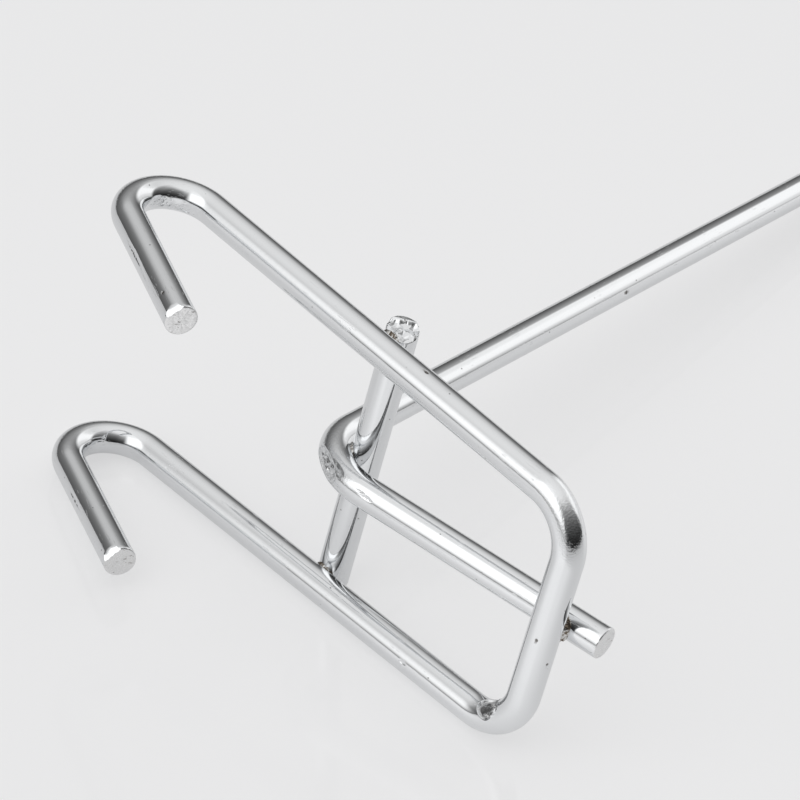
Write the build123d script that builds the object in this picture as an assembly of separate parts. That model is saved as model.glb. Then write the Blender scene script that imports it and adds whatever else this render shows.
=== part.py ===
from build123d import *
import math
import os

os.makedirs("parts", exist_ok=True)

# A grid-wall hook that holds plastic bags. One U-shaped wire has arms that end in
# hooks. A cross bar is welded across the arms, and an L-shaped prong is welded to
# the cross bar and to the bottom bar of the U.
#
# It is drawn with the U in the XZ plane: the arms run along X with their hooks at
# the -X end, the cross bar runs along Z, and the prong points to +Y. At the end it
# is laid down, so that it rests on its lower arm and on the tip of the prong.

# ---- Driving dimensions, in millimetres and degrees ----
# Bend radii are measured to the wire's axis.

wire_dia = 5.0
weld_set_down = 0.35  # how deep crossing wires are pressed into each other
end_chamfer = 0.25  # deburred rim of a cut end

frame_width = 39.6  # between the arm axes, where they meet the bottom bar's axis
arm_splay = 1.7  # each arm opens outwards by this much
arm_length = 79.6  # from the bottom bar's axis to the start of a hook
corner_radius = 8.2
hook_radius = 7.3
hook_turn = 157.0
hook_leg = 24.9  # straight end of a hook, which drops behind a grid wire

cross_bar_height = 42.9  # from the bottom bar's axis
cross_bar_upper_end = 2.2  # past the axis of the upper arm
cross_bar_lower_end = 1.4  # past the axis of the lower arm, clear of the ground

leg_overhang = 7.4  # lower end of the prong, past the bottom bar's axis
prong_bend_radius = 10.8
prong_nest = 55.0  # how far round its bend the prong meets the cross bar
prong_rise = 8.9  # upward slope of the prong when the holder hangs
prong_reach = 190.0  # from the plane of the arms to the centre of the round tip
tip_rise = 30.0  # how much further the tip turns up
tip_bend_radius = 14.0
tip_length = 12.0

weld_radius = 2.1  # ring of metal squeezed out round a weld
weld_thickness = 1.9
weld_rounding = 0.7

# ---- Sizes and places worked out from them ----

wire_radius = wire_dia / 2
wire_spacing = wire_dia - weld_set_down  # between the axes of two welded wires


def heading(angle):
    # unit vector in the XY plane, turned from -X towards +Y
    return Vector(-math.cos(math.radians(angle)), math.sin(math.radians(angle)), 0)


# Arms and cross bar.
splay = math.radians(arm_splay)
corner_turn = 90 - arm_splay
corner_tangent = corner_radius * math.tan(math.radians(corner_turn / 2))
arm_half_gap = frame_width / 2 + cross_bar_height * math.tan(splay)
cross_centre = Vector(-cross_bar_height, wire_spacing, 0)

# The prong's leg runs in front of the bottom bar and wraps round the back of the
# cross bar, so it leans. The lean follows from its distance to both axes.
cross_distance = cross_centre.length
inner_reach = prong_bend_radius - wire_spacing
leg_offset = prong_bend_radius + wire_spacing - inner_reach * math.cos(math.radians(prong_nest))
leg_lean = math.degrees(math.asin(leg_offset / cross_distance) - math.asin(wire_spacing / cross_distance))
leg_heading = heading(-leg_lean)
leg_back = heading(-leg_lean - 90)
nest_back = heading(-leg_lean - 90 + prong_nest)
bend_centre = cross_centre - nest_back * inner_reach
leg_foot = leg_back * -wire_spacing
leg_end = leg_foot - leg_heading * leg_overhang
leg_straight = (bend_centre - leg_end).dot(leg_heading)

# The rod of the prong is as long as its reach leaves over.
prong_back = heading(-prong_rise)
rod_start = bend_centre + prong_back * prong_bend_radius
tip_slope = prong_rise + tip_rise
tip_bend_reach = tip_bend_radius * (math.sin(math.radians(tip_slope)) - math.sin(math.radians(prong_rise)))
tip_reach = tip_bend_reach + tip_length * math.cos(math.radians(tip_slope))
rod_length = (prong_reach - tip_reach - rod_start.Y) / math.cos(math.radians(prong_rise))


# ---- Wires ----


def route(point, direction, steps):
    # A step is (length,) for a straight, or (radius, angle, side) for a bend.
    edges = []
    for step in steps:
        if len(step) == 1:
            end = point + direction * step[0]
            edges.append(Edge.make_line(point, end))
        else:
            radius, angle, side = step
            centre = point + side * radius

            def on_bend(turn):
                return centre + (direction * math.sin(turn) - side * math.cos(turn)) * radius

            turn = math.radians(angle)
            end = on_bend(turn)
            edges.append(Edge.make_three_point_arc(point, on_bend(turn / 2), end))
            direction = direction * math.cos(turn) + side * math.sin(turn)
        point = end
    return edges


def round_wire(edges):
    path = Wire(edges)
    profile = Plane(origin=path @ 0, z_dir=path % 0) * Circle(wire_radius)
    return sweep(profile, path=path).solid()


def cut_end(wire, point):
    # the flat end nearest to the point gets a small chamfer
    rim = wire.faces().sort_by_distance(point)[0].edges()
    return chamfer(rim, end_chamfer).solid()


def make_hook_frame():
    start = Vector(0, 0, 0)
    edges = []
    tips = []
    for side in (1, -1):
        along_bar = Vector(0, 0, side)
        steps = [
            (frame_width / 2 - corner_tangent,),
            (corner_radius, corner_turn, Vector(-1, 0, 0)),
            (arm_length - corner_tangent,),
            (hook_radius, hook_turn, Vector(0, -1, 0)),
            (hook_leg,),
        ]
        half = route(start, along_bar, steps)
        tips.append(half[-1] @ 1)
        edges += half
    frame = round_wire(edges)
    for tip in tips:
        frame = cut_end(frame, tip)
    return frame


def make_cross_bar():
    upper_end = cross_centre + Vector(0, 0, arm_half_gap + cross_bar_upper_end)
    lower_end = cross_centre - Vector(0, 0, arm_half_gap + cross_bar_lower_end)
    ends = [lower_end, upper_end]
    bar = round_wire([Edge.make_line(*ends)])
    for end in ends:
        bar = cut_end(bar, end)
    return bar


def make_prong():
    steps = [
        (leg_straight,),
        (prong_bend_radius, 90 - prong_rise + leg_lean, leg_back * -1),
        (rod_length,),
        (tip_bend_radius, tip_rise, prong_back),
        (tip_length,),
    ]
    edges = route(leg_end, leg_heading, steps)
    wire = cut_end(round_wire(edges), leg_end)
    tip = edges[-1] @ 1
    return wire + Pos(tip) * Sphere(wire_radius), tip


def make_weld(point, normal):
    disc = Cylinder(weld_radius, weld_thickness)
    disc = fillet(disc.edges().filter_by(GeomType.CIRCLE), weld_rounding)
    return Plane(origin=point, z_dir=normal) * disc


hook_frame = make_hook_frame()
cross_bar = make_cross_bar() - hook_frame
whole_prong, prong_tip = make_prong()
prong = whole_prong - hook_frame - cross_bar

upper_crossing = Vector(-cross_bar_height, wire_spacing / 2, arm_half_gap)
lower_crossing = Vector(-cross_bar_height, wire_spacing / 2, -arm_half_gap)
weld_places = {
    "upper_arm_weld": (upper_crossing, Vector(0, 1, 0)),
    "lower_arm_weld": (lower_crossing, Vector(0, 1, 0)),
    "prong_bend_weld": (cross_centre + nest_back * (wire_spacing / 2), nest_back),
    "prong_foot_weld": (leg_foot * 0.5, leg_back),
}

parts = {"hook_frame": hook_frame, "cross_bar": cross_bar, "prong": prong}
for name, (point, normal) in weld_places.items():
    parts[name] = make_weld(point, normal) - hook_frame - cross_bar - prong

# ---- Laid down on the lower arm and the prong's tip ----

level = Rot(0, arm_splay, 0)
lower_arm_z = -frame_width / 2 * math.cos(splay)
level_tip = (level * Pos(prong_tip)).position
tilt = math.degrees(math.atan2(level_tip.Z - lower_arm_z, level_tip.Y))
laid = Pos(0, 0, wire_radius) * Rot(-tilt, 0, 0) * Pos(0, 0, -lower_arm_z) * level

box = Compound([laid * shape for shape in parts.values()]).bounding_box()
resting = Pos(-box.center().X, -box.center().Y, -box.min.Z) * laid

for name, shape in parts.items():
    export_step(resting * shape, f"parts/{name}.step")
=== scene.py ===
import math

import bpy
import numpy as np
from mathutils import Matrix, Vector


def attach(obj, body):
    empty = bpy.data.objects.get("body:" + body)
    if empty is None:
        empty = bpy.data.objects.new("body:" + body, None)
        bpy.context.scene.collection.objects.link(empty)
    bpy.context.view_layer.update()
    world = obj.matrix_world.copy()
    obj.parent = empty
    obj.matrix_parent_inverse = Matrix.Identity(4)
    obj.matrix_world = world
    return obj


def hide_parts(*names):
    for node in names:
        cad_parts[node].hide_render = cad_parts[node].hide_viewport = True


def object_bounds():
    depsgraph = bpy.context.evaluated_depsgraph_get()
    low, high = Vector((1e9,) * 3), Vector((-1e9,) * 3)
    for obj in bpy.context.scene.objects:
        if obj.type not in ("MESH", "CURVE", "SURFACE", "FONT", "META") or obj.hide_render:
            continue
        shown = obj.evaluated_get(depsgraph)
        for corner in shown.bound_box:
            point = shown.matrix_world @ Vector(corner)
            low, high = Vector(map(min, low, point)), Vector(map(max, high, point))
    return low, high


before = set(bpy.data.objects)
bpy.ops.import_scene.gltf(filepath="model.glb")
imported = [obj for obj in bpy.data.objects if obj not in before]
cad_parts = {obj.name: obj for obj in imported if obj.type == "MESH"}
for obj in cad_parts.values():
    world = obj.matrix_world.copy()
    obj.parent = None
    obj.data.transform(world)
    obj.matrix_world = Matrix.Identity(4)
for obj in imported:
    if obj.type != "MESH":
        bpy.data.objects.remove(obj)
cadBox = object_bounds()

# The holder is drawn with its U upright in the XZ plane: arms along X, hooks at the
# -X end, cross bar along Z, prong towards +Y. It is laid down afterwards.
# Lengths are in metres, turns in degrees, and bend radii run to the wire's axis.

wire = {
    "radius": 0.0025,
    "sides": 72,
    "ringGap": 0.00055,   # between two rings of points along the wire
    "setDown": 0.00035,   # how deep welded wires are pressed into each other
    "rim": 0.00025,       # rounding of a cut end
    "rimSteps": 3,
    "faceRings": 8,       # rings of points on a cut end
    "domeSteps": 14,      # rings of points on a rounded end
    "stretchStart": 0.3,  # stretching starts this far inside a bend's axis, in wire radii
}


def deselectAll():
    if bpy.context.object and bpy.context.object.mode != "OBJECT":
        bpy.ops.object.mode_set(mode="OBJECT")
    bpy.ops.object.select_all(action="DESELECT")


def makeActive(piece):
    deselectAll()
    piece.select_set(True)
    bpy.context.view_layer.objects.active = piece


def applyAll(piece):
    makeActive(piece)
    for modifier in list(piece.modifiers):
        bpy.ops.object.modifier_apply(modifier=modifier.name)


def heading(angle):
    # unit vector in the XY plane, turned from -X towards +Y
    turn = math.radians(angle)
    return Vector((-math.cos(turn), math.sin(turn), 0))


def followRoute(start, direction, steps, facing=None):
    # (length,) is a straight; (radius, angle, side) is a bend towards side.
    # facing is a direction square to the wire, carried along it without twisting:
    # places round the wire are counted from it.
    spans = []
    point = start.copy()
    way = direction.copy()
    zero = facing.copy() if facing else way.orthogonal().normalized()
    run = 0.0
    for step in steps:
        span = {"from": point.copy(), "way": way.copy(), "zero": zero.copy(), "run": run}
        if len(step) == 1:
            span.update(kind="straight", length=step[0])
            point = point + way * step[0]
        else:
            radius, angle, side = step
            turn = math.radians(angle)
            centre = point + side * radius
            across = way.cross(side)
            zeroAngle = math.atan2(zero.dot(across), zero.dot(side))
            span.update(kind="bend", side=side.copy(), centre=centre, radius=radius, turn=turn,
                        length=radius * turn, across=across, zeroAngle=zeroAngle)
            point = centre + (way * math.sin(turn) - side * math.cos(turn)) * radius
            way, side = (way * math.cos(turn) + side * math.sin(turn),
                         side * math.cos(turn) - way * math.sin(turn))
            zero = side * math.cos(zeroAngle) + across * math.sin(zeroAngle)
        run += span["length"]
        spans.append(span)
    return spans, point, way


def crossSection(span, along):
    # middle of the wire, its direction and its zero direction, at a length along a span
    if span["kind"] == "straight":
        return span["from"] + span["way"] * along, span["way"], span["zero"]
    turn = along / span["radius"]
    side = span["side"] * math.cos(turn) - span["way"] * math.sin(turn)
    way = span["way"] * math.cos(turn) + span["side"] * math.sin(turn)
    zero = side * math.cos(span["zeroAngle"]) + span["across"] * math.sin(span["zeroAngle"])
    return span["centre"] - side * span["radius"], way, zero


def placeOnWire(span, along, facing):
    # a point on the wire's skin, and the directions along, outwards and round it
    middle, way, zero = crossSection(span, along)
    angle = math.radians(facing)
    outward = zero * math.cos(angle) + way.cross(zero) * math.sin(angle)
    return middle + outward * wire["radius"], way, outward, way.cross(outward)


def pushRing(offset):
    bpy.ops.mesh.extrude_region_move(TRANSFORM_OT_translate={"value": tuple(offset)})


def scaleRing(centre, factor):
    bpy.ops.transform.resize(value=(factor,) * 3, center_override=tuple(centre))


def closeEnd(point, way, rounded):
    # the ring of points at the wire's end is carried round the rim and in to the middle
    here = point.copy()
    size = wire["radius"]
    if rounded:
        rim = size
        steps = wire["domeSteps"]
    else:
        rim = wire["rim"]
        steps = wire["rimSteps"]
    for k in range(1, steps + 1 - int(rounded)):
        turn = math.pi / 2 * k / steps
        newSize = wire["radius"] - rim * (1 - math.cos(turn))
        newHere = point + way * rim * math.sin(turn)
        pushRing(newHere - here)
        scaleRing(newHere, newSize / size)
        here, size = newHere, newSize
    if not rounded:
        flat = size
        for k in range(wire["faceRings"] - 1, 0, -1):
            newSize = flat * k / wire["faceRings"]
            pushRing(Vector((0, 0, 0)))
            scaleRing(here, newSize / size)
            size = newSize
    else:
        pushRing(point + way * rim - here)
    bpy.ops.mesh.merge(type="CENTER")


def drawWire(name, start, direction, steps, facing, endRounded=False):
    spans, end, endWay = followRoute(start, direction, steps, facing)
    deselectAll()
    turnTo = direction.to_track_quat("Z", "Y").to_euler()
    rim = wire["rim"]
    bpy.ops.mesh.primitive_circle_add(vertices=wire["sides"], radius=wire["radius"],
                                      location=start + direction * rim, rotation=turnTo)
    piece = bpy.context.object
    piece.name = name
    bpy.ops.object.transform_apply(location=True, rotation=True, scale=True)
    bpy.ops.object.mode_set(mode="EDIT")
    bpy.ops.mesh.select_all(action="SELECT")
    for place, span in enumerate(spans):
        if span["kind"] == "straight":
            length = span["length"]
            if place == 0:
                length -= rim
            if place == len(spans) - 1 and not endRounded:
                length -= rim
            count = max(1, round(length / wire["ringGap"]))
            for k in range(count):
                pushRing(span["way"] * (length / count))
        else:
            count = max(2, round(span["length"] / wire["ringGap"]))
            bpy.ops.mesh.spin(steps=count, angle=-span["turn"], center=tuple(span["centre"]),
                              axis=tuple(span["across"]))
    closeEnd(end if endRounded else end - endWay * rim, endWay, endRounded)
    # the first ring is still open: it is closed the same way
    bpy.ops.mesh.select_all(action="DESELECT")
    bpy.ops.mesh.select_non_manifold(extend=False)
    closeEnd(start + direction * rim, -direction, rounded=False)
    bpy.ops.mesh.select_all(action="SELECT")
    bpy.ops.mesh.remove_doubles(threshold=1e-7)
    bpy.ops.mesh.normals_make_consistent(inside=False)
    bpy.ops.object.mode_set(mode="OBJECT")
    bpy.ops.object.shade_smooth()
    return piece, spans


hookFrame = {
    "width": 0.0396,
    "splay": 1.7,
    "armLength": 0.0796,
    "cornerRadius": 0.0082,
    "hookRadius": 0.0073,
    "hookTurn": 157.0,
    "hookLeg": 0.0249,
}
crossBar = {
    "height": 0.0429,
    "upperEnd": 0.0022,
    "lowerEnd": 0.0014,
}

# the places of the arms and the cross bar follow from these sizes
spacing = 2 * wire["radius"] - wire["setDown"]
splay = math.radians(hookFrame["splay"])
cornerTurn = 90 - hookFrame["splay"]
cornerTangent = hookFrame["cornerRadius"] * math.tan(math.radians(cornerTurn / 2))
armHalfGap = hookFrame["width"] / 2 + crossBar["height"] * math.tan(splay)
crossCentre = Vector((-crossBar["height"], spacing, 0))


def makeHookFrame():
    # both hooks and arms in one run, from the lower hook's end to the upper one
    spans, tip, tipWay = followRoute(Vector((0, 0, 0)), Vector((0, 0, -1)), [
        (hookFrame["width"] / 2 - cornerTangent,),
        (hookFrame["cornerRadius"], cornerTurn, Vector((-1, 0, 0))),
        (hookFrame["armLength"] - cornerTangent,),
        (hookFrame["hookRadius"], hookFrame["hookTurn"], Vector((0, -1, 0))),
        (hookFrame["hookLeg"],),
    ])
    hookTurn = math.radians(hookFrame["hookTurn"])
    lowerArmWay = spans[2]["way"]
    hookSide = Vector((0, -1, 0))
    backSide = hookSide * math.cos(hookTurn) - lowerArmWay * math.sin(hookTurn)
    toBar = -lowerArmWay
    lowerCornerSide = (Vector((0, 0, 1)) - toBar * toBar.z).normalized()
    steps = [
        (hookFrame["hookLeg"],),
        (hookFrame["hookRadius"], hookFrame["hookTurn"], backSide),
        (hookFrame["armLength"] - cornerTangent,),
        (hookFrame["cornerRadius"], cornerTurn, lowerCornerSide),
        (hookFrame["width"] - 2 * cornerTangent,),
        (hookFrame["cornerRadius"], cornerTurn, Vector((-1, 0, 0))),
        (hookFrame["armLength"] - cornerTangent,),
        (hookFrame["hookRadius"], hookFrame["hookTurn"], hookSide),
        (hookFrame["hookLeg"],),
    ]
    return drawWire("hookFrameWire", tip, -tipWay, steps, backSide)


def makeCrossBar():
    lowerEnd = crossCentre - Vector((0, 0, armHalfGap + crossBar["lowerEnd"]))
    length = 2 * armHalfGap + crossBar["lowerEnd"] + crossBar["upperEnd"]
    return drawWire("crossBarWire", lowerEnd, Vector((0, 0, 1)), [(length,)], Vector((0, -1, 0)))


prong = {
    "overhang": 0.0074,
    "bendRadius": 0.0108,
    "nest": 55.0,
    "rise": 8.9,
    "reach": 0.190,
    "tipRise": 30.0,
    "tipBendRadius": 0.014,
    "tipLength": 0.012,
}

# the leg crosses in front of the bottom bar and bends round the back of the cross bar
innerReach = prong["bendRadius"] - spacing
legOffset = prong["bendRadius"] + spacing - innerReach * math.cos(math.radians(prong["nest"]))
legLean = math.degrees(math.asin(legOffset / crossCentre.length)
                       - math.asin(spacing / crossCentre.length))
legHeading = heading(-legLean)
legBack = heading(-legLean - 90)
nestBack = heading(-legLean - 90 + prong["nest"])
bendCentre = crossCentre - nestBack * innerReach
legFoot = legBack * -spacing
legEnd = legFoot - legHeading * prong["overhang"]
legStraight = (bendCentre - legEnd).dot(legHeading)
prongBack = heading(-prong["rise"])
rodStart = bendCentre + prongBack * prong["bendRadius"]
rise = math.radians(prong["rise"])
tipSlope = rise + math.radians(prong["tipRise"])
tipReach = (prong["tipBendRadius"] * (math.sin(tipSlope) - math.sin(rise))
            + prong["tipLength"] * math.cos(tipSlope))
rodLength = (prong["reach"] - tipReach - rodStart.y) / math.cos(rise)


def makeProng():
    bendTurn = 90 - prong["rise"] + legLean
    steps = [
        (legStraight,),
        (prong["bendRadius"], bendTurn, -legBack),
        (rodLength,),
        (prong["tipBendRadius"], prong["tipRise"], prongBack),
        (prong["tipLength"],),
    ]
    return drawWire("prongWire", legEnd, legHeading, steps, -legBack, endRounded=True)


print("stage: wires")
frameWire, frameSpans = makeHookFrame()
barWire, barSpans = makeCrossBar()
prongWire, prongSpans = makeProng()
wires = [frameWire, barWire, prongWire]


def meshPoints(piece):
    flat = np.zeros(len(piece.data.vertices) * 3)
    piece.data.vertices.foreach_get("co", flat)
    return flat.reshape(-1, 3)


def faceCentres(piece):
    flat = np.zeros(len(piece.data.polygons) * 3)
    piece.data.polygons.foreach_get("center", flat)
    return flat.reshape(-1, 3)


def selectFaces(piece, chosen):
    makeActive(piece)
    bpy.ops.object.mode_set(mode="EDIT")
    bpy.ops.mesh.select_mode(type="FACE")
    bpy.ops.mesh.select_all(action="DESELECT")
    bpy.ops.object.mode_set(mode="OBJECT")
    piece.data.polygons.foreach_set("select", np.asarray(chosen, dtype=bool))
    bpy.ops.object.mode_set(mode="EDIT")


def wireWays(spans, points):
    # for each point: the length along the wire and its place across it, in the zero
    # direction and square to it; also the wire's middle there, and how far the wire
    # was stretched by bending
    nearest = np.full(len(points), 1e9)
    ways = np.zeros((len(points), 3))
    middles = np.zeros((len(points), 3))
    stretch = np.zeros(len(points))
    for span in spans:
        start, way, zero = (np.array(span[key]) for key in ("from", "way", "zero"))
        if span["kind"] == "straight":
            along = np.clip((points - start) @ way, 0, span["length"])
            middle = start + np.outer(along, way)
            here = np.broadcast_to(way, points.shape)
            zeros = np.broadcast_to(zero, points.shape)
            pulled = np.zeros(len(points))
        else:
            side, centre, across = (np.array(span[key]) for key in ("side", "centre", "across"))
            arm = points - centre
            turn = np.clip(np.arctan2(arm @ way, -(arm @ side)), 0, span["turn"])
            along = turn * span["radius"]
            inward = np.outer(np.cos(turn), side) - np.outer(np.sin(turn), way)
            here = np.outer(np.cos(turn), way) + np.outer(np.sin(turn), side)
            zeros = inward * math.cos(span["zeroAngle"]) + across * math.sin(span["zeroAngle"])
            middle = centre - inward * span["radius"]
            # the outside of a bend is stretched, most of all halfway round it
            outside = ((middle - points) * inward).sum(1) / wire["radius"]
            halfway = np.sin(np.pi * turn / span["turn"]) ** 0.5
            pulled = np.clip(outside + wire["stretchStart"], 0, 1) * halfway
        off = points - middle
        distance = np.linalg.norm(off, axis=1)
        near = distance < nearest
        nearest[near] = distance[near]
        rounds = np.cross(here, zeros)
        place = [along + span["run"], (off * zeros).sum(1), (off * rounds).sum(1)]
        ways[near] = np.stack(place, 1)[near]
        middles[near] = middle[near]
        stretch[near] = pulled[near]
    return ways, middles, stretch


marking = {
    "margin": 1.2,         # faces are cut up out to this many times a mark's size
    "roundMargin": 1.6,    # and new points set on the round skin out to this many
    "skin": 0.99,          # points this many wire radii out are on the skin
    "offSkin": 5e-6,       # new points lie this close under the skin
    "fineArea": 2.0e-8,    # faces this small aren't cut up again
    "reach": 0.002,        # what stands higher than this over a mark isn't part of it
}


def spread(points, place, mark):
    # 0 at the middle of a mark and 1 at its edge
    point, way, outward, around = (np.array(v) for v in place)
    off = points - point
    flat = np.hypot(off @ way / mark["long"], off @ around / mark["wide"])
    height = off @ outward
    flat[(height < -wire["radius"]) | (height > marking["reach"])] = np.inf
    return flat


def addDisplace(piece, name, group, depth, grain, middle, kind="CLOUDS", direction="NORMAL"):
    shift = piece.modifiers.new(name, "DISPLACE")
    shift.vertex_group = group
    shift.strength = depth
    shift.mid_level = middle
    shift.direction = direction
    if grain:
        texture = bpy.data.textures.new(name, kind)
        texture.noise_scale = grain
        if kind == "CLOUDS":
            texture.noise_depth = 1
            texture.noise_type = "HARD_NOISE"
        if kind == "VORONOI":
            texture.distance_metric = "CHEBYCHEV"   # flat facets with straight edges
        shift.texture = texture
        shift.texture_coords = "LOCAL"
    return shift


def weighVertices(piece, name, weights):
    group = piece.vertex_groups.new(name=name)
    for index in np.nonzero(weights > 0)[0]:
        group.add([int(index)], float(weights[index]), "REPLACE")
    return group.name


def markSkin(piece, spans, mark, name):
    place = placeOnWire(spans[mark["span"]], mark["along"], mark["facing"])
    areas = np.zeros(len(piece.data.polygons))
    piece.data.polygons.foreach_get("area", areas)
    inside = spread(faceCentres(piece), place, mark) < marking["margin"]
    selectFaces(piece, inside & (areas > marking["fineArea"]))
    bpy.ops.mesh.subdivide(number_cuts=mark["cuts"])
    bpy.ops.object.mode_set(mode="OBJECT")
    points = meshPoints(piece)
    reach = spread(points, place, mark)
    # the new points are set on the round skin before it is dented
    near = np.nonzero(reach < marking["roundMargin"])[0]
    ways, middles, _ = wireWays(spans, points[near])
    off = points[near] - middles
    size = np.linalg.norm(off, axis=1)
    skin = size > wire["radius"] * marking["skin"]
    fixed = middles + off / size[:, None] * wire["radius"]
    for index, point in zip(near[skin], fixed[skin]):
        if np.linalg.norm(points[index] - point) < marking["offSkin"]:
            piece.data.vertices[int(index)].co = point
    weights = np.clip((1 - reach ** 2) * mark.get("edge", 1.0), 0, 1)
    if mark.get("dark"):
        grime = piece.data.attributes["grime"]
        for index in np.nonzero(weights > 0)[0]:
            entry = grime.data[int(index)]
            entry.value = max(entry.value, min(1.0, float(weights[index]) * mark["dark"]))
    group = weighVertices(piece, name, weights)
    addDisplace(piece, name + "Sink", group, -mark["sink"], None, 0.0)
    if mark["rough"]:
        addDisplace(piece, name + "Rough", group, mark["rough"], mark["grain"], 0.5)
    applyAll(piece)
    piece.vertex_groups.clear()


cutEnd = {
    "pitDepth": 0.00016,
    "footPitDepth": 0.00008,
    "pitGrain": 0.0005,
    "pitLevel": 0.62,
    "pitReach": 1.2,       # pits reach this many wire radii out
    "rimFade": 0.5,        # and lose this much of their depth at the rim
    "depth": 0.00005,      # the end's own points lie this close to it
    "reach": 0.0055,       # a slanting cut stays this near the end's middle
    "sharpAngle": 38.0,
}


def cutFacet(piece, point, way, towards, tilt, bite):
    # a slanting cut over one side of a wire's end
    turn = math.radians(tilt)
    onPlane = point + towards * (wire["radius"] - bite)
    normal = way * math.cos(turn) + towards * math.sin(turn)
    centres = faceCentres(piece) - np.array(point)
    selectFaces(piece, np.linalg.norm(centres, axis=1) < cutEnd["reach"])
    bpy.ops.mesh.bisect(plane_co=tuple(onPlane), plane_no=tuple(normal), clear_outer=True)
    bpy.ops.mesh.select_mode(type="EDGE")
    bpy.ops.mesh.select_all(action="DESELECT")
    bpy.ops.mesh.select_non_manifold(extend=False)
    bpy.ops.mesh.edge_face_add()
    bpy.ops.mesh.select_mode(type="FACE")
    bpy.ops.mesh.select_all(action="SELECT")
    bpy.ops.mesh.normals_make_consistent(inside=False)
    bpy.ops.object.mode_set(mode="OBJECT")


def pitEnd(piece, point, way, depth, name):
    # a sheared end is torn and pitted, less so at its rim
    points = meshPoints(piece) - np.array(point)
    height = points @ np.array(way)
    aside = np.linalg.norm(points - np.outer(height, np.array(way)), axis=1) / wire["radius"]
    onEnd = (height > -cutEnd["depth"]) & (aside < cutEnd["pitReach"])
    weights = onEnd * np.clip(1.0 - cutEnd["rimFade"] * aside ** 4, 0, 1)
    group = weighVertices(piece, name, weights)
    addDisplace(piece, name, group, depth, cutEnd["pitGrain"], cutEnd["pitLevel"])
    applyAll(piece)
    piece.vertex_groups.clear()


# span counts the straights and bends from the wire's first end, along is the length
# into that span and facing the angle round the wire; a negative sink raises the skin,
# edge steepens a mark's rim and dark dirties it
frameMarks = [
    # scuffs inside the bends of the hooks
    {"span": 7, "along": 0.0012, "facing": -14, "long": 0.0030, "wide": 0.0011, "sink": 0.00010,
     "rough": 0.00016, "grain": 0.0006, "cuts": 2},
    {"span": 7, "along": 0.0062, "facing": -6, "long": 0.0032, "wide": 0.0010, "sink": 0.00004,
     "rough": 0.00012, "grain": 0.0007, "cuts": 1},
    {"span": 7, "along": 0.0112, "facing": 0, "long": 0.0022, "wide": 0.0012, "sink": 0.00012,
     "rough": 0.00022, "grain": 0.0006, "cuts": 2},
    {"span": 6, "along": 0.0690, "facing": -18, "long": 0.0032, "wide": 0.0009, "sink": 0.00002,
     "rough": 0.00010, "grain": 0.0008, "cuts": 1},
    {"span": 1, "along": 0.0088, "facing": 0, "long": 0.0022, "wide": 0.0012, "sink": 0.00010,
     "rough": 0.00018, "grain": 0.0006, "cuts": 2},
    {"span": 1, "along": 0.0168, "facing": 14, "long": 0.0034, "wide": 0.0011, "sink": 0.00008,
     "rough": 0.00014, "grain": 0.0006, "cuts": 2},
    # long scratches on the backs of the hooks' straight ends
    {"span": 8, "along": 0.0098, "facing": 166, "long": 0.0044, "wide": 0.0004, "sink": 0.00006,
     "rough": 0.00014, "grain": 0.0005, "cuts": 2},
    {"span": 8, "along": 0.0142, "facing": 172, "long": 0.0022, "wide": 0.0003, "sink": 0.00005,
     "rough": 0.00008, "grain": 0.0005, "cuts": 2},
    {"span": 0, "along": 0.0150, "facing": -166, "long": 0.0030, "wide": 0.0004, "sink": 0.00009,
     "rough": 0.00010, "grain": 0.0005, "cuts": 2},
    # a gouge in the lower corner, where the bending pin pinched the wire
    {"span": 3, "along": 0.0052, "facing": -58, "long": 0.0020, "wide": 0.0020, "sink": 0.00040,
     "rough": 0.00006, "grain": 0.0009, "cuts": 3, "edge": 5.0, "dark": 0.45},
    {"span": 3, "along": 0.0072, "facing": -56, "long": 0.0009, "wide": 0.0015, "sink": -0.00030,
     "rough": 0.00050, "grain": 0.0005, "cuts": 3},
    {"span": 3, "along": 0.0056, "facing": -22, "long": 0.0016, "wide": 0.0005, "sink": -0.00020,
     "rough": 0.00024, "grain": 0.0005, "cuts": 3},
    # single pits
    {"span": 8, "along": 0.0204, "facing": 138, "long": 0.00035, "wide": 0.00030, "sink": 0.00010,
     "rough": 0.0, "cuts": 4, "dark": 1.6},
    {"span": 4, "along": 0.0112, "facing": 18, "long": 0.00032, "wide": 0.00030, "sink": 0.00009,
     "rough": 0.0, "cuts": 4, "dark": 1.6},
    {"span": 4, "along": 0.0074, "facing": 80, "long": 0.00026, "wide": 0.00026, "sink": 0.00008,
     "rough": 0.0, "cuts": 4, "dark": 1.6},
    {"span": 2, "along": 0.0590, "facing": -11, "long": 0.0008, "wide": 0.0003, "sink": 0.00006,
     "rough": 0.00010, "grain": 0.0004, "cuts": 3},
    {"span": 6, "along": 0.0250, "facing": 84, "long": 0.0005, "wide": 0.0003, "sink": 0.00007,
     "rough": 0.0, "cuts": 4, "dark": 1.6},
]
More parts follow.
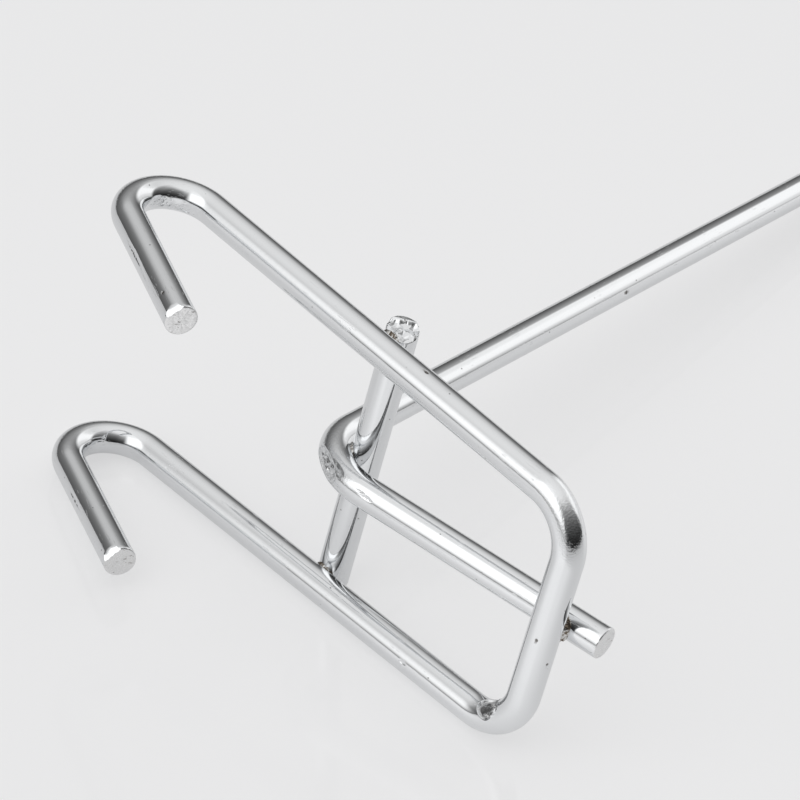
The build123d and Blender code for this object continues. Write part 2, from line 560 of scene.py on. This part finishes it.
prongMarks = [
    # the bending tool flattened and tore the outside of the bend
    {"span": 1, "along": 0.0068, "facing": -178, "long": 0.0042, "wide": 0.0018, "sink": 0.00034,
     "rough": 0.00075, "grain": 0.0016, "cuts": 3, "edge": 1.8, "dark": 0.12},
    {"span": 1, "along": 0.0046, "facing": -140, "long": 0.0024, "wide": 0.0007, "sink": 0.00012,
     "rough": 0.00012, "grain": 0.0008, "cuts": 2},
    # a nick just before the bend
    {"span": 0, "along": 0.0432, "facing": -152, "long": 0.0009, "wide": 0.00024, "sink": 0.00005,
     "rough": 0.00020, "grain": 0.0003, "cuts": 3, "dark": 0.3},
    {"span": 0, "along": 0.0420, "facing": -160, "long": 0.0012, "wide": 0.0003, "sink": 0.00010,
     "rough": 0.00012, "grain": 0.0004, "cuts": 3},
    {"span": 2, "along": 0.0695, "facing": -19, "long": 0.0004, "wide": 0.0004, "sink": 0.00008,
     "rough": 0.0, "cuts": 4, "dark": 1.6},
]

print("stage: marks")
for piece in wires:
    piece.data.attributes.new("grime", "FLOAT", "POINT")
for index, mark in enumerate(frameMarks):
    markSkin(frameWire, frameSpans, mark, "frameMark" + str(index))
for index, mark in enumerate(prongMarks):
    markSkin(prongWire, prongSpans, mark, "prongMark" + str(index))

# the cropping tool rolled one side of each hook's end over, and tore the rest
hookEnds = [
    {"name": "upperHookEnd", "span": 8, "along": hookFrame["hookLeg"], "outward": 1,
     "facing": 132, "tilt": 60, "bite": 0.00060},
    {"name": "lowerHookEnd", "span": 0, "along": 0.0, "outward": -1,
     "facing": -138, "tilt": 60, "bite": 0.00066},
]
frameEnds = []
for end in hookEnds:
    span = frameSpans[end["span"]]
    middle, way, _ = crossSection(span, end["along"])
    endWay = way * end["outward"]
    towards = placeOnWire(span, end["along"], end["facing"])[2]
    cutFacet(frameWire, middle, endWay, towards, end["tilt"], end["bite"])
    pitEnd(frameWire, middle, endWay, cutEnd["pitDepth"], end["name"])
    frameEnds.append((middle, endWay))

footWay = -prongSpans[0]["way"]
pitEnd(prongWire, legEnd, footWay, cutEnd["footPitDepth"], "footEnd")

# the cross bar's upper end was nipped off: a curled rim stands over a torn slope
barEnd = {
    "lowSide": Vector((0.66, -0.75, 0)),    # the slope falls this way
    "rimRise": 0.00045,
    "rimDrop": 0.00040,
    "slopeDrop": 0.00095,
    "rimAt": -0.62,        # places across the end, in wire radii
    "rimWidth": 0.22,
    "slopeAt": -0.40,
    "slopeWidth": 1.40,
    "reach": 0.0016,       # how far down the wall follows
    "cuts": 2,
    "tearLeast": 0.25,
    "tearLevel": 0.55,
    "tearDepth": 0.00095,
    "tearGrain": 0.0017,
    "grainDepth": 0.00008,
    "grain": 0.0010,
    "sharpAngle": 22.0,
}


def tearBarEnd():
    barTop = crossSection(barSpans[0], barSpans[0]["length"])[0]
    centres = faceCentres(barWire) - np.array(barTop)
    selectFaces(barWire, centres[:, 2] > -barEnd["reach"])
    bpy.ops.mesh.subdivide(number_cuts=barEnd["cuts"])
    bpy.ops.object.mode_set(mode="OBJECT")
    points = meshPoints(barWire) - np.array(barTop)
    follow = np.clip(1 + points[:, 2] / barEnd["reach"], 0, 1)
    across = points @ np.array(barEnd["lowSide"]) / wire["radius"]
    rim = np.clip((across - barEnd["rimAt"]) / barEnd["rimWidth"], 0, 1)
    slope = np.clip((across - barEnd["slopeAt"]) / barEnd["slopeWidth"], 0, 1)
    whole = barEnd["rimDrop"] + barEnd["slopeDrop"]
    drop = (rim * barEnd["rimDrop"] + slope * barEnd["slopeDrop"]) / whole
    group = weighVertices(barWire, "barRim", follow)
    addDisplace(barWire, "barRim", group, barEnd["rimRise"], None, 0.0, direction="Z")
    group = weighVertices(barWire, "barSlope", drop * follow)
    addDisplace(barWire, "barSlope", group, -whole, None, 0.0, direction="Z")
    tear = np.clip(rim + barEnd["tearLeast"], 0, 1) * follow ** 2
    torn = weighVertices(barWire, "barTear", tear)
    addDisplace(barWire, "barTear", torn, barEnd["tearDepth"], barEnd["tearGrain"],
                barEnd["tearLevel"], kind="VORONOI", direction="Z")
    addDisplace(barWire, "barGrain", torn, barEnd["grainDepth"], barEnd["grain"], 0.5)
    applyAll(barWire)
    barWire.vertex_groups.clear()


tearBarEnd()

for piece, spans in ((frameWire, frameSpans), (barWire, barSpans), (prongWire, prongSpans)):
    makeActive(piece)
    sharp = barEnd["sharpAngle"] if piece is barWire else cutEnd["sharpAngle"]
    bpy.ops.object.shade_smooth_by_angle(angle=math.radians(sharp))
    ways, _, stretch = wireWays(spans, meshPoints(piece))
    layer = piece.data.attributes.new("wireWay", "FLOAT_VECTOR", "POINT")
    layer.data.foreach_set("vector", ways.astype(np.float32).ravel())
    layer = piece.data.attributes.new("stretch", "FLOAT", "POINT")
    layer.data.foreach_set("value", stretch.astype(np.float32))

weldBeads = {
    "upperArmWeld": {"node": "upper_arm_weld", "ring": 0.00145, "bead": 0.00064, "lump": 0.00030,
                     "point": Vector((-crossBar["height"], spacing / 2, armHalfGap)),
                     "normal": Vector((0, 1, 0))},
    "lowerArmWeld": {"node": "lower_arm_weld", "ring": 0.00140, "bead": 0.00066, "lump": 0.00030,
                     "point": Vector((-crossBar["height"], spacing / 2, -armHalfGap)),
                     "normal": Vector((0, 1, 0))},
    "prongBendWeld": {"node": "prong_bend_weld", "ring": 0.00125, "bead": 0.00060, "lump": 0.00026,
                      "point": crossCentre + nestBack * (spacing / 2), "normal": nestBack},
    "prongFootWeld": {"node": "prong_foot_weld", "ring": 0.00200, "bead": 0.00088, "lump": 0.00050,
                      "point": legFoot * 0.5, "normal": legBack},
}
weldShape = {
    "segments": 96,
    "sides": 40,
    "lumpGrain": 0.0011,
    "spatterGrain": 0.0004,
    "spatterDepth": 0.00012,
}


def makeWeld(name, bead):
    # a ring of metal squeezed out between two wires, lumpy and spattered
    deselectAll()
    bpy.ops.mesh.primitive_torus_add(major_radius=bead["ring"], minor_radius=bead["bead"],
                                     major_segments=weldShape["segments"],
                                     minor_segments=weldShape["sides"],
                                     location=bead["point"],
                                     rotation=bead["normal"].to_track_quat("Z", "Y").to_euler())
    piece = bpy.context.object
    piece.name = name
    bpy.ops.object.transform_apply(location=True, rotation=True, scale=True)
    addDisplace(piece, name + "Lumps", "", bead["lump"], weldShape["lumpGrain"], 0.5)
    addDisplace(piece, name + "Spatter", "", weldShape["spatterDepth"],
                weldShape["spatterGrain"], 0.5)
    applyAll(piece)
    bpy.ops.object.shade_smooth()
    return piece


print("stage: welds")
welds = {}
for name, bead in weldBeads.items():
    welds[bead["node"]] = makeWeld(name, bead)

# everything is laid down, on the lower arm and the prong's tip
level = Matrix.Rotation(splay, 4, "Y")
lowerArmZ = -hookFrame["width"] / 2 * math.cos(splay)
prongTip = level @ crossSection(prongSpans[-1], prong["tipLength"])[0]
tilt = math.atan2(prongTip.z - lowerArmZ, prongTip.y)
laid = (Matrix.Translation((0, 0, wire["radius"])) @ Matrix.Rotation(-tilt, 4, "X")
        @ Matrix.Translation((0, 0, -lowerArmZ)) @ level)


def boxOf(pieces, matrix):
    points = [matrix @ v.co for piece in pieces for v in piece.data.vertices]
    low = Vector([min(p[k] for p in points) for k in range(3)])
    high = Vector([max(p[k] for p in points) for k in range(3)])
    return low, high


low, high = boxOf(wires, laid)
cadMiddle = (cadBox[0] + cadBox[1]) / 2
shift = Vector((cadMiddle.x - (low.x + high.x) / 2, cadMiddle.y - (low.y + high.y) / 2,
                cadBox[0].z - low.z))
resting = Matrix.Translation(shift) @ laid

for piece in wires + list(welds.values()):
    piece.data.transform(resting)
    piece.data.update()
print("stage: laid down")


def newMaterial(name):
    material = bpy.data.materials.new(name)
    material.use_nodes = True
    nodes = material.node_tree.nodes
    links = material.node_tree.links
    shader = nodes["Principled BSDF"]
    return material, nodes, links, shader


def mathNode(nodes, links, operation, a, b=None, c=None):
    node = nodes.new("ShaderNodeMath")
    node.operation = operation
    for socket, value in zip(node.inputs, (a, b, c)):
        if value is None:
            continue
        if isinstance(value, (int, float)):
            socket.default_value = value
        else:
            links.new(value, socket)
    return node.outputs[0]


def noiseNode(nodes, links, vector, scale, detail, roughness=0.5):
    node = nodes.new("ShaderNodeTexNoise")
    node.inputs["Scale"].default_value = scale
    node.inputs["Detail"].default_value = detail
    node.inputs["Roughness"].default_value = roughness
    links.new(vector, node.inputs["Vector"])
    return node.outputs["Fac"]


def stretchNode(nodes, links, vector, scale):
    node = nodes.new("ShaderNodeMapping")
    node.inputs["Scale"].default_value = scale
    links.new(vector, node.inputs["Vector"])
    return node.outputs["Vector"]


def stepNode(nodes, links, value, start, end, low=0.0, high=1.0):
    node = nodes.new("ShaderNodeMapRange")
    node.interpolation_type = "SMOOTHSTEP"
    for key, number in (("From Min", start), ("From Max", end), ("To Min", low), ("To Max", high)):
        node.inputs[key].default_value = number
    links.new(value, node.inputs["Value"])
    return node.outputs["Result"]


# In the finishes a scale is per millimetre, and a band is where a pattern starts to show
# and where it is full.
toMillimetres = (1000, 1000, 1000)

chromeFinish = {
    "colour": (0.83, 0.84, 0.85, 1),
    "pitColour": (0.20, 0.19, 0.18, 1),
    "roughness": 0.055,
    "scuffRoughness": 0.16,
    "roughBand": (0.35, 0.75),
    "roughMost": 1.7,
    "peelScale": 1.3,
    "peelDepth": 0.0000030,       # soft waviness under the plating
    "bendPeelScale": 4.2,
    "bendPeelDepth": 0.0000360,   # orange peel where a bend stretched the wire
    "drawScale": 5.5,
    "drawStretch": (0.03, 1, 1),
    "drawDepth": 0.0000020,       # faint lines from drawing the wire
    "scratchScale": 4.2,
    "scratchStretch": (0.12, 1, 1),
    "scratchBand": (0.65, 0.71),
    "patchScale": 0.11,
    "patchBand": (0.49, 0.60),    # where on the wire the scratches are
    "scratchDepth": 0.0000080,
    "pitScale": 0.42,
    "pitBand": (0.055, 0.03),
    "pitDepth": 0.0000300,
}


def makeChrome():
    material, nodes, links, shader = newMaterial("brightChrome")
    look = chromeFinish
    shader.inputs["Metallic"].default_value = 1.0
    way = nodes.new("ShaderNodeAttribute")
    way.attribute_name = "wireWay"
    vector = stretchNode(nodes, links, way.outputs["Vector"], toMillimetres)
    peel = noiseNode(nodes, links, vector, look["peelScale"], 2)
    longWay = stretchNode(nodes, links, vector, look["drawStretch"])
    drawn = noiseNode(nodes, links, longWay, look["drawScale"], 3)
    shortWay = stretchNode(nodes, links, vector, look["scratchStretch"])
    lines = noiseNode(nodes, links, shortWay, look["scratchScale"], 1)
    where = noiseNode(nodes, links, vector, look["patchScale"], 2)
    scratch = mathNode(nodes, links, "MULTIPLY",
                       stepNode(nodes, links, lines, *look["scratchBand"]),
                       stepNode(nodes, links, where, *look["patchBand"]))
    spots = nodes.new("ShaderNodeTexVoronoi")
    spots.inputs["Scale"].default_value = look["pitScale"]
    links.new(vector, spots.inputs["Vector"])
    pit = stepNode(nodes, links, spots.outputs["Distance"], *look["pitBand"])
    stretched = nodes.new("ShaderNodeAttribute")
    stretched.attribute_name = "stretch"
    grime = nodes.new("ShaderNodeAttribute")
    grime.attribute_name = "grime"
    coarse = noiseNode(nodes, links, vector, look["bendPeelScale"], 3)
    coarse = mathNode(nodes, links, "MULTIPLY", coarse, stretched.outputs["Fac"])
    height = mathNode(nodes, links, "MULTIPLY", peel, look["peelDepth"])
    height = mathNode(nodes, links, "MULTIPLY_ADD", coarse, look["bendPeelDepth"], height)
    height = mathNode(nodes, links, "MULTIPLY_ADD", drawn, look["drawDepth"], height)
    height = mathNode(nodes, links, "MULTIPLY_ADD", scratch, -look["scratchDepth"], height)
    height = mathNode(nodes, links, "MULTIPLY_ADD", pit, -look["pitDepth"], height)
    bump = nodes.new("ShaderNodeBump")
    bump.inputs["Strength"].default_value = 1.0
    bump.inputs["Distance"].default_value = 1.0
    links.new(height, bump.inputs["Height"])
    links.new(bump.outputs["Normal"], shader.inputs["Normal"])
    patchy = stepNode(nodes, links, where, *look["roughBand"], look["roughness"],
                      look["roughness"] * look["roughMost"])
    rough = mathNode(nodes, links, "MULTIPLY_ADD", scratch, look["scuffRoughness"], patchy)
    rough = mathNode(nodes, links, "MULTIPLY_ADD", grime.outputs["Fac"], look["scuffRoughness"], rough)
    links.new(rough, shader.inputs["Roughness"])
    colour = nodes.new("ShaderNodeMix")
    colour.data_type = "RGBA"
    colour.inputs["A"].default_value = look["colour"]
    colour.inputs["B"].default_value = look["pitColour"]
    dark = mathNode(nodes, links, "MAXIMUM", pit, grime.outputs["Fac"])
    links.new(dark, colour.inputs["Factor"])
    links.new(colour.outputs["Result"], shader.inputs["Base Color"])
    return material


cutFinish = {
    "colour": (0.88, 0.88, 0.88, 1),
    "darkColour": (0.50, 0.48, 0.46, 1),
    "roughness": 0.34,
    "roughSpread": (0.7, 1.3),
    "grainScale": 3.2,
    "grainBand": (0.3, 0.7),
    "tearScale": 1.7,
    "tearStretch": (1, 0.5, 1.6),
    "tearBand": (0.64, 0.72),
    "tearDepth": 0.000018,
    "facing": 0.55,        # faces that look along the wire this much are cut ones
    "depth": 0.0003,       # and lie this close to the end
    "reach": 0.004,
}


def makeCutMetal():
    # plating over a sheared face: dull, with torn grain
    material, nodes, links, shader = newMaterial("cutFace")
    look = cutFinish
    shader.inputs["Metallic"].default_value = 1.0
    way = nodes.new("ShaderNodeAttribute")
    way.attribute_name = "wireWay"
    vector = stretchNode(nodes, links, way.outputs["Vector"], toMillimetres)
    grain = noiseNode(nodes, links, vector, look["grainScale"], 4, 0.6)
    oneWay = stretchNode(nodes, links, vector, look["tearStretch"])
    tears = noiseNode(nodes, links, oneWay, look["tearScale"], 3)
    deep = stepNode(nodes, links, tears, *look["tearBand"])
    height = mathNode(nodes, links, "MULTIPLY_ADD", deep, -2.0, grain)
    bump = nodes.new("ShaderNodeBump")
    bump.inputs["Strength"].default_value = 1.0
    bump.inputs["Distance"].default_value = look["tearDepth"]
    links.new(height, bump.inputs["Height"])
    links.new(bump.outputs["Normal"], shader.inputs["Normal"])
    smooth, coarse = (look["roughness"] * factor for factor in look["roughSpread"])
    rough = stepNode(nodes, links, grain, *look["grainBand"], smooth, coarse)
    links.new(rough, shader.inputs["Roughness"])
    colour = nodes.new("ShaderNodeMix")
    colour.data_type = "RGBA"
    colour.inputs["A"].default_value = look["colour"]
    colour.inputs["B"].default_value = look["darkColour"]
    links.new(deep, colour.inputs["Factor"])
    links.new(colour.outputs["Result"], shader.inputs["Base Color"])
    return material


weldFinish = {
    "brightColour": (0.66, 0.655, 0.64, 1),
    "burntColour": (0.20, 0.165, 0.13, 1),
    "roughness": 0.16,
    "burntRoughness": 0.42,
    "grainScale": 4.5,
    "grainDepth": 0.000020,
    "burntScale": 1.6,
    "burntBand": (0.44, 0.56),
}


def makeWeldMetal():
    # chrome over spattered weld metal, brown where the plating did not take
    material, nodes, links, shader = newMaterial("weldFlash")
    look = weldFinish
    shader.inputs["Metallic"].default_value = 1.0
    coordinates = nodes.new("ShaderNodeTexCoord").outputs["Object"]
    vector = stretchNode(nodes, links, coordinates, toMillimetres)
    grain = noiseNode(nodes, links, vector, look["grainScale"], 4, 0.6)
    patches = noiseNode(nodes, links, vector, look["burntScale"], 4, 0.6)
    burnt = stepNode(nodes, links, patches, *look["burntBand"])
    bump = nodes.new("ShaderNodeBump")
    bump.inputs["Strength"].default_value = 1.0
    bump.inputs["Distance"].default_value = look["grainDepth"]
    links.new(grain, bump.inputs["Height"])
    links.new(bump.outputs["Normal"], shader.inputs["Normal"])
    rough = stepNode(nodes, links, burnt, 0, 1, look["roughness"], look["burntRoughness"])
    links.new(rough, shader.inputs["Roughness"])
    colour = nodes.new("ShaderNodeMix")
    colour.data_type = "RGBA"
    colour.inputs["A"].default_value = look["brightColour"]
    colour.inputs["B"].default_value = look["burntColour"]
    links.new(burnt, colour.inputs["Factor"])
    links.new(colour.outputs["Result"], shader.inputs["Base Color"])
    return material


print("stage: finishes")
chrome = makeChrome()
cutMetal = makeCutMetal()
weldMetal = makeWeldMetal()


def finishWire(piece, node, ends):
    # the faces at these ends, each given by a point and a direction, are cut metal
    piece.data.materials.clear()
    piece.data.materials.append(chrome)
    piece.data.materials.append(cutMetal)
    for point, way in ends:
        middle = resting @ point
        outward = (resting.to_3x3() @ way).normalized()
        for face in piece.data.polygons:
            off = face.center - middle
            atEnd = abs(off.dot(outward)) < cutFinish["depth"] and off.length < cutFinish["reach"]
            if atEnd and face.normal.dot(outward) > cutFinish["facing"]:
                face.material_index = 1
    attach(piece, "root")
    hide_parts(node)


finishWire(frameWire, "hook_frame", frameEnds)
finishWire(barWire, "cross_bar", [(barSpans[0]["from"], -barSpans[0]["way"])])
finishWire(prongWire, "prong", [(legEnd, footWay)])
for node, piece in welds.items():
    piece.data.materials.clear()
    piece.data.materials.append(weldMetal)
    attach(piece, "root")
    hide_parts(node)


studio = {
    "floorRadius": 4.0,
    "floorDrop": 0.00002,
    "floorRoughness": 0.6,
    "coat": 0.8,
    "coatRoughness": 0.09,
    "coatIor": 1.42,
    "floorColour": (0.44, 0.44, 0.445, 1),   # the part that takes light and shadow
    "floorGlow": (0.500, 0.500, 0.502, 1),   # the part that is only seen
    "mirroredGlowAndPaintedPool": (0.70, 1.14),            # its strength as seen in the wires: far from the painted pool of light, and inside it
    "paintedPoolCentre": (0.060, -0.152, 0),              # middle of a painted pool of light on the floor in front of the arms, which only the wires' reflections show
    "paintedPoolReach": (0.092, 0.034),
    "backdrop": (0.84, 0.84, 0.842, 1),
    # grey of the tent against elevation, for its far side
    "tent": [(0, 0.085), (6, 0.10), (12, 0.14), (18, 0.20), (24, 0.27), (30, 0.38), (36, 0.57),
             (44, 0.67), (54, 0.79), (62, 0.85), (90, 0.92)],
    # parts of the tent: middle azimuth from +Y towards +X, half width, softness of its
    # edges, and its own greys against elevation
    "walls": [
        {"azimuth": -102, "halfWidth": 20, "soft": 12,
         "greys": [(0, 0.10), (10, 0.13), (18, 0.16), (24, 0.19), (30, 0.28), (36, 0.48), (44, 0.60),
                   (54, 0.78), (62, 0.85), (90, 0.92)]},
        {"azimuth": 96, "halfWidth": 58, "soft": 14,
         "greys": [(0, 0.020), (8, 0.028), (16, 0.055), (26, 0.11), (36, 0.22), (48, 0.38), (60, 0.66),
                   (68, 0.88), (90, 0.92)]},
        {"azimuth": 98, "halfWidth": 30, "soft": 16,
         "greys": [(0, 0.012), (10, 0.018), (20, 0.045), (30, 0.085), (42, 0.16), (54, 0.32), (62, 0.66),
                   (70, 0.90), (90, 0.92)]},
        {"azimuth": 6, "halfWidth": 26, "soft": 6,
         "greys": [(0, 0.50), (5, 0.78), (12, 0.88), (18, 1.08), (24, 1.12), (31, 1.12), (37, 0.88),
                   (46, 0.76), (60, 0.84), (90, 0.92)]},
        {"azimuth": 186, "halfWidth": 32, "soft": 11,
         "greys": [(0, 0.22), (6, 0.62), (12, 0.98), (18, 1.20), (24, 1.30), (32, 1.40), (54, 1.40),
                   (68, 1.05), (90, 0.92)]},
    ],
}


def tentGrey(nodes, links, elevation, greys):
    ramp = nodes.new("ShaderNodeValToRGB")
    links.new(mathNode(nodes, links, "DIVIDE", elevation, 90.0), ramp.inputs["Fac"])
    elements = ramp.color_ramp.elements
    while len(elements) < len(greys):
        elements.new(0.5)
    for element, (height, grey) in zip(elements, greys):
        element.position = height / 90
        element.color = (grey, grey, grey, 1)
    return ramp.outputs["Color"]


def makeWorld():
    world = bpy.data.worlds.new("studioTent")
    bpy.context.scene.world = world
    world.use_nodes = True
    nodes = world.node_tree.nodes
    links = world.node_tree.links
    nodes.clear()
    direction = nodes.new("ShaderNodeTexCoord").outputs["Generated"]
    height = nodes.new("ShaderNodeSeparateXYZ")
    links.new(direction, height.inputs[0])
    elevation = mathNode(nodes, links, "MULTIPLY",
                         mathNode(nodes, links, "ARCSINE", height.outputs["Z"]), 180 / math.pi)
    level = tentGrey(nodes, links, elevation, studio["tent"])
    for wall in studio["walls"]:
        turned = nodes.new("ShaderNodeVectorRotate")
        turned.rotation_type = "Z_AXIS"
        turned.inputs["Angle"].default_value = math.radians(wall["azimuth"])
        links.new(direction, turned.inputs["Vector"])
        own = nodes.new("ShaderNodeSeparateXYZ")
        links.new(turned.outputs[0], own.inputs[0])
        azimuth = mathNode(nodes, links, "ARCTAN2", own.outputs["X"], own.outputs["Y"])
        aside = mathNode(nodes, links, "ABSOLUTE", azimuth)
        mask = stepNode(nodes, links, aside, math.radians(wall["halfWidth"] + wall["soft"]),
                        math.radians(wall["halfWidth"] - wall["soft"]))
        mix = nodes.new("ShaderNodeMix")
        mix.data_type = "RGBA"
        links.new(mask, mix.inputs["Factor"])
        links.new(level, mix.inputs["A"])
        links.new(tentGrey(nodes, links, elevation, wall["greys"]), mix.inputs["B"])
        level = mix.outputs["Result"]
    tent = nodes.new("ShaderNodeBackground")
    links.new(level, tent.inputs["Color"])
    seen = nodes.new("ShaderNodeBackground")
    seen.inputs["Color"].default_value = studio["backdrop"]
    rays = nodes.new("ShaderNodeLightPath")
    mix = nodes.new("ShaderNodeMixShader")
    links.new(rays.outputs["Is Camera Ray"], mix.inputs["Fac"])
    links.new(tent.outputs[0], mix.inputs[1])
    links.new(seen.outputs[0], mix.inputs[2])
    out = nodes.new("ShaderNodeOutputWorld")
    links.new(mix.outputs[0], out.inputs["Surface"])


def makeFloor():
    deselectAll()
    bpy.ops.mesh.primitive_circle_add(vertices=96, radius=studio["floorRadius"], fill_type="NGON",
                                      location=(0, 0, cadBox[0].z - studio["floorDrop"]))
    floor = bpy.context.object
    floor.name = "tableTop"
    bpy.ops.object.transform_apply(location=True, rotation=True, scale=True)
    material, nodes, links, shader = newMaterial("paleTable")
    shader.inputs["Base Color"].default_value = studio["floorColour"]
    shader.inputs["Roughness"].default_value = studio["floorRoughness"]
    shader.inputs["Specular IOR Level"].default_value = 0.0
    shader.inputs["Coat Weight"].default_value = studio["coat"]
    shader.inputs["Coat Roughness"].default_value = studio["coatRoughness"]
    shader.inputs["Coat IOR"].default_value = studio["coatIor"]
    glow = nodes.new("ShaderNodeEmission")
    glow.inputs["Color"].default_value = studio["floorGlow"]
    rays = nodes.new("ShaderNodeLightPath")
    # painted pool of light: the floor glows brighter round one point, which paints a highlight down the
    # middle of the upright wires
    gap = nodes.new("ShaderNodeVectorMath")
    gap.operation = "DISTANCE"
    links.new(nodes.new("ShaderNodeTexCoord").outputs["Object"], gap.inputs[0])
    gap.inputs[1].default_value = studio["paintedPoolCentre"]
    level = stepNode(nodes, links, gap.outputs["Value"], *studio["paintedPoolReach"], *studio["mirroredGlowAndPaintedPool"])
    # the painted pool shows only to glossy rays; the camera sees the floor's even glow
    reflectedGlowAndPaintedPool = mathNode(nodes, links, "MULTIPLY", rays.outputs["Is Glossy Ray"], level)
    links.new(mathNode(nodes, links, "MAXIMUM", rays.outputs["Is Camera Ray"], reflectedGlowAndPaintedPool),
              glow.inputs["Strength"])
    both = nodes.new("ShaderNodeAddShader")
    links.new(shader.outputs[0], both.inputs[0])
    links.new(glow.outputs[0], both.inputs[1])
    links.new(both.outputs[0], nodes["Material Output"].inputs["Surface"])
    floor.data.materials.append(material)


cameraPlace = {
    "lens": 207.5,
    "sensor": 36.0,
    "clipStart": 0.01,
    "azimuth": 41.418,
    "elevation": 36.382,
    "roll": 9.33,
    "aim": (-0.00216, -0.07068, 0.03034),
    "distance": 0.67637,
}


def makeCamera():
    azimuth = math.radians(cameraPlace["azimuth"])
    elevation = math.radians(cameraPlace["elevation"])
    back = Vector((math.sin(azimuth) * math.cos(elevation), -math.cos(azimuth) * math.cos(elevation),
                   math.sin(elevation)))
    data = bpy.data.cameras.new("camera")
    data.lens = cameraPlace["lens"]
    data.sensor_width = cameraPlace["sensor"]
    data.clip_start = cameraPlace["clipStart"]
    camera = bpy.data.objects.new("camera", data)
    bpy.context.scene.collection.objects.link(camera)
    turned = back.to_track_quat("Z", "Y").to_matrix().to_4x4() @ Matrix.Rotation(
        math.radians(cameraPlace["roll"]), 4, "Z")
    place = Vector(cameraPlace["aim"]) + back * cameraPlace["distance"]
    camera.matrix_world = Matrix.Translation(place) @ turned
    bpy.context.scene.camera = camera


print("stage: studio")
makeWorld()
makeFloor()
makeCamera()
bpy.context.scene.view_settings.view_transform = "Standard"

deselectAll()
